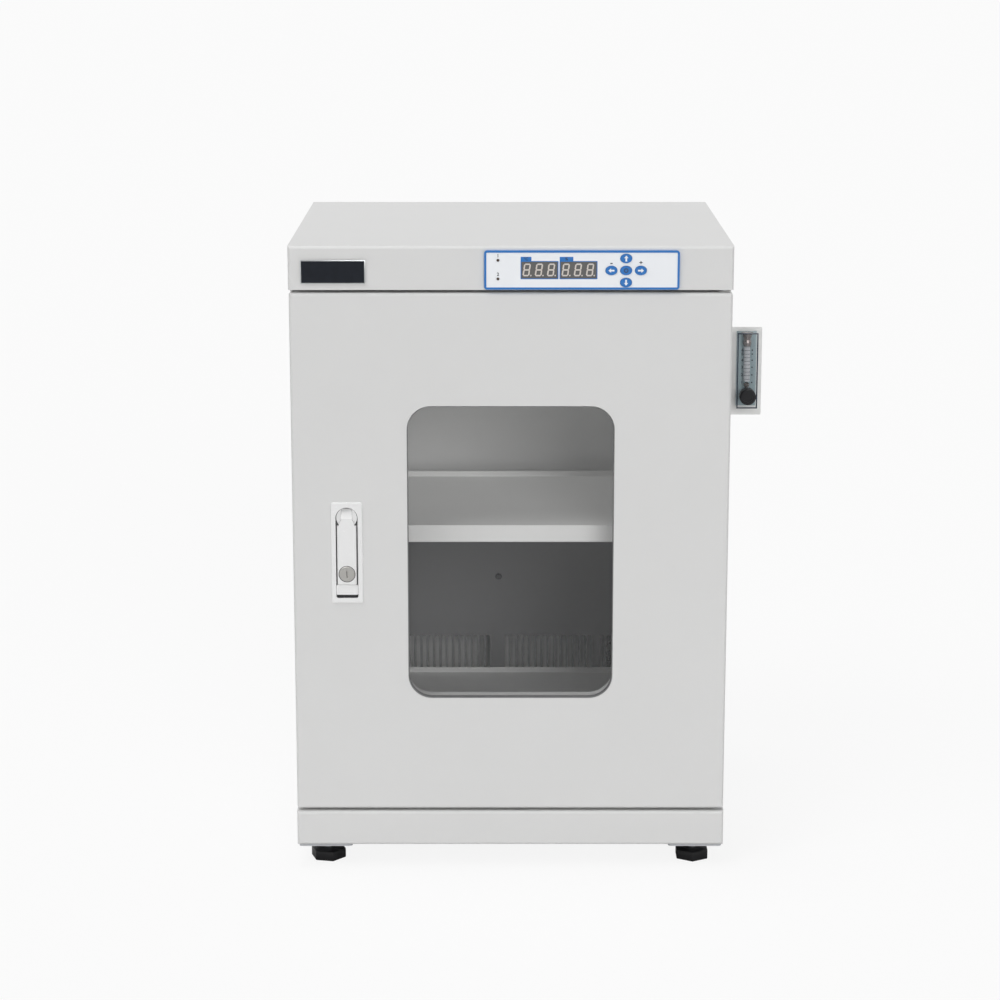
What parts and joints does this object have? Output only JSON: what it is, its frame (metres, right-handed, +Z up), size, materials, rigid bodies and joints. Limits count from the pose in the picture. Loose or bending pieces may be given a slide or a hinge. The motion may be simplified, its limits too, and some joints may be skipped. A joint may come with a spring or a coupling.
{
  "type": "desiccator cabinet",
  "caption": "Bench-top dry cabinet of folded steel with a glazed locking door, lift-out shelves, a digital humidity panel, a side flowmeter and a regenerating drying unit.",
  "frame": {"origin": "on the floor, under the middle of the whole object's bounding box, bracket and flowmeter included", "axes": "+Z up, -Y out of the door's face towards the user, +X to the user's right, the side with the hinge and the flowmeter"},
  "size_m": [0.491, 0.4074, 0.668],
  "materials": {
    "paint": "fine textured powder coat",
    "dark_paint": "satin powder coat",
    "steel": "zinc plated",
    "aluminium": "mill finish",
    "white_zinc": "smooth gloss enamel",
    "white_plastic": "matt",
    "black_plastic": "satin",
    "foot_black": "satin",
    "panel_white": "printed film",
    "panel_blue": "satin film",
    "display": "smoked",
    "lamp": "clear lens",
    "board": "solder mask",
    "acrylic": "polished acrylic",
    "float": "dark, satin",
    "brass": "plain turned",
    "smoked_glass": "toughened, lightly smoked",
    "seal_rubber": "matt",
    "gasket": "matt"
  },
  "bodies": {
    "cabinet": {"side_panel_left": "paint", "side_panel_right": "paint", "rear_panel": "paint", "ceiling_panel": "paint", "floor_panel": "paint", "base_plinth": "paint", "top_cover": "paint", "door_frame": "paint", "foot_plates": "steel", "hinge_top": "steel", "hinge_bottom": "steel", "shelf_upper": "paint", "shelf_lower": "paint", "shelf_pilasters": "steel", "shelf_clips": "steel", "dryer_cover": "dark_paint", "drying_housing": "steel", "desiccant_cassette": "white_plastic", "heater_plate": "aluminium", "shutter_solenoid": "steel", "fan_frame": "black_plastic", "sensor_probe": "white_plastic", "name_badge": "black_plastic", "panel_bezel": "panel_blue", "panel_face": "panel_white", "digit_displays": "display", "status_lamps": "lamp", "control_board": "board", "power_supply": "aluminium", "meter_bracket": "paint", "meter_body": "acrylic", "gas_fittings": "brass", "power_inlet": "black_plastic", "case_screws": "steel"},
    "door": {"door_skin": "paint", "door_liner": "paint", "window_glass": "smoked_glass", "window_seal": "seal_rubber", "door_gasket": "gasket", "hinge_bushes": "white_plastic", "lock_housing": "white_zinc", "lock_rotor": "steel", "lever_pin": "steel"},
    "lever": {"lock_lever": "white_zinc"},
    "key_plug": {"key_plug": "steel"},
    "push_tab": {"push_tab": "white_zinc"},
    "lock_cam": {"lock_cam": "steel"},
    "key_up": {"key_up": "panel_blue"},
    "key_down": {"key_down": "panel_blue"},
    "key_left": {"key_left": "panel_blue"},
    "key_right": {"key_right": "panel_blue"},
    "key_set": {"key_set": "panel_blue"},
    "valve_knob": {"meter_knob": "black_plastic"},
    "float": {"meter_float": "float"},
    "shutter": {"shutter_slide": "steel"},
    "fan_rotor": {"fan_rotor": "black_plastic"},
    "foot_front_left": {"foot_front_left": "foot_black"},
    "foot_front_right": {"foot_front_right": "foot_black"},
    "foot_rear_left": {"foot_rear_left": "foot_black"},
    "foot_rear_right": {"foot_rear_right": "foot_black"}
  },
  "joints": [
    {"name": "door_swing", "type": "hinge", "parent": "cabinet", "child": "door", "pos_m": [0.2005, -0.1827, 0.343], "axis": [0, 0, 1], "range_deg": [0, 110]},
    {"name": "lever_lift", "type": "hinge", "parent": "door", "child": "lever", "pos_m": [-0.1886, -0.1937, 0.39], "axis": [-1, 0, 0], "range_deg": [0, 25]},
    {"name": "key_turn", "type": "hinge", "parent": "lever", "child": "key_plug", "pos_m": [-0.1886, -0.1987, 0.3249], "axis": [0, 1, 0], "range_deg": [0, 90]},
    {"name": "tab_press", "type": "slide", "parent": "door", "child": "push_tab", "axis": [0, 1, 0], "range_m": [0, 0.0025], "stiffness_N_per_m": 600, "springref_m": -0.001},
    {"name": "cam_turn", "type": "hinge", "parent": "door", "child": "lock_cam", "pos_m": [-0.1886, -0.1687, 0.384], "axis": [0, 1, 0], "range_deg": [0, 90]},
    {"name": "key_up_press", "type": "slide", "parent": "cabinet", "child": "key_up", "axis": [0, 1, 0], "range_m": [0, 0.0004], "stiffness_N_per_m": 2500, "springref_m": -0.0002},
    {"name": "key_down_press", "type": "slide", "parent": "cabinet", "child": "key_down", "axis": [0, 1, 0], "range_m": [0, 0.0004], "stiffness_N_per_m": 2500, "springref_m": -0.0002},
    {"name": "key_left_press", "type": "slide", "parent": "cabinet", "child": "key_left", "axis": [0, 1, 0], "range_m": [0, 0.0004], "stiffness_N_per_m": 2500, "springref_m": -0.0002},
    {"name": "key_right_press", "type": "slide", "parent": "cabinet", "child": "key_right", "axis": [0, 1, 0], "range_m": [0, 0.0004], "stiffness_N_per_m": 2500, "springref_m": -0.0002},
    {"name": "key_set_press", "type": "slide", "parent": "cabinet", "child": "key_set", "axis": [0, 1, 0], "range_m": [0, 0.0004], "stiffness_N_per_m": 2500, "springref_m": -0.0002},
    {"name": "valve_turn", "type": "hinge", "parent": "cabinet", "child": "valve_knob", "pos_m": [0.2293, -0.1657, 0.5058], "axis": [0, -1, 0], "range_deg": [0, 720]},
    {"name": "float_rise", "type": "slide", "parent": "cabinet", "child": "float", "axis": [0, 0, 1], "range_m": [0, 0.04]},
    {"name": "shutter_shift", "type": "slide", "parent": "cabinet", "child": "shutter", "axis": [-1, 0, 0], "range_m": [0, 0.00375], "stiffness_N_per_m": 300, "springref_m": -0.003},
    {"name": "fan_spin", "type": "hinge", "parent": "cabinet", "child": "fan_rotor", "pos_m": [0.124, 0.1513, 0.139], "axis": [0, 1, 0], "continuous": true},
    {"name": "foot_front_left_level", "type": "slide", "parent": "cabinet", "child": "foot_front_left", "axis": [0, 0, -1], "range_m": [0, 0.012]},
    {"name": "foot_front_right_level", "type": "slide", "parent": "cabinet", "child": "foot_front_right", "axis": [0, 0, -1], "range_m": [0, 0.012]},
    {"name": "foot_rear_left_level", "type": "slide", "parent": "cabinet", "child": "foot_rear_left", "axis": [0, 0, -1], "range_m": [0, 0.012]},
    {"name": "foot_rear_right_level", "type": "slide", "parent": "cabinet", "child": "foot_rear_right", "axis": [0, 0, -1], "range_m": [0, 0.012]}
  ]
}
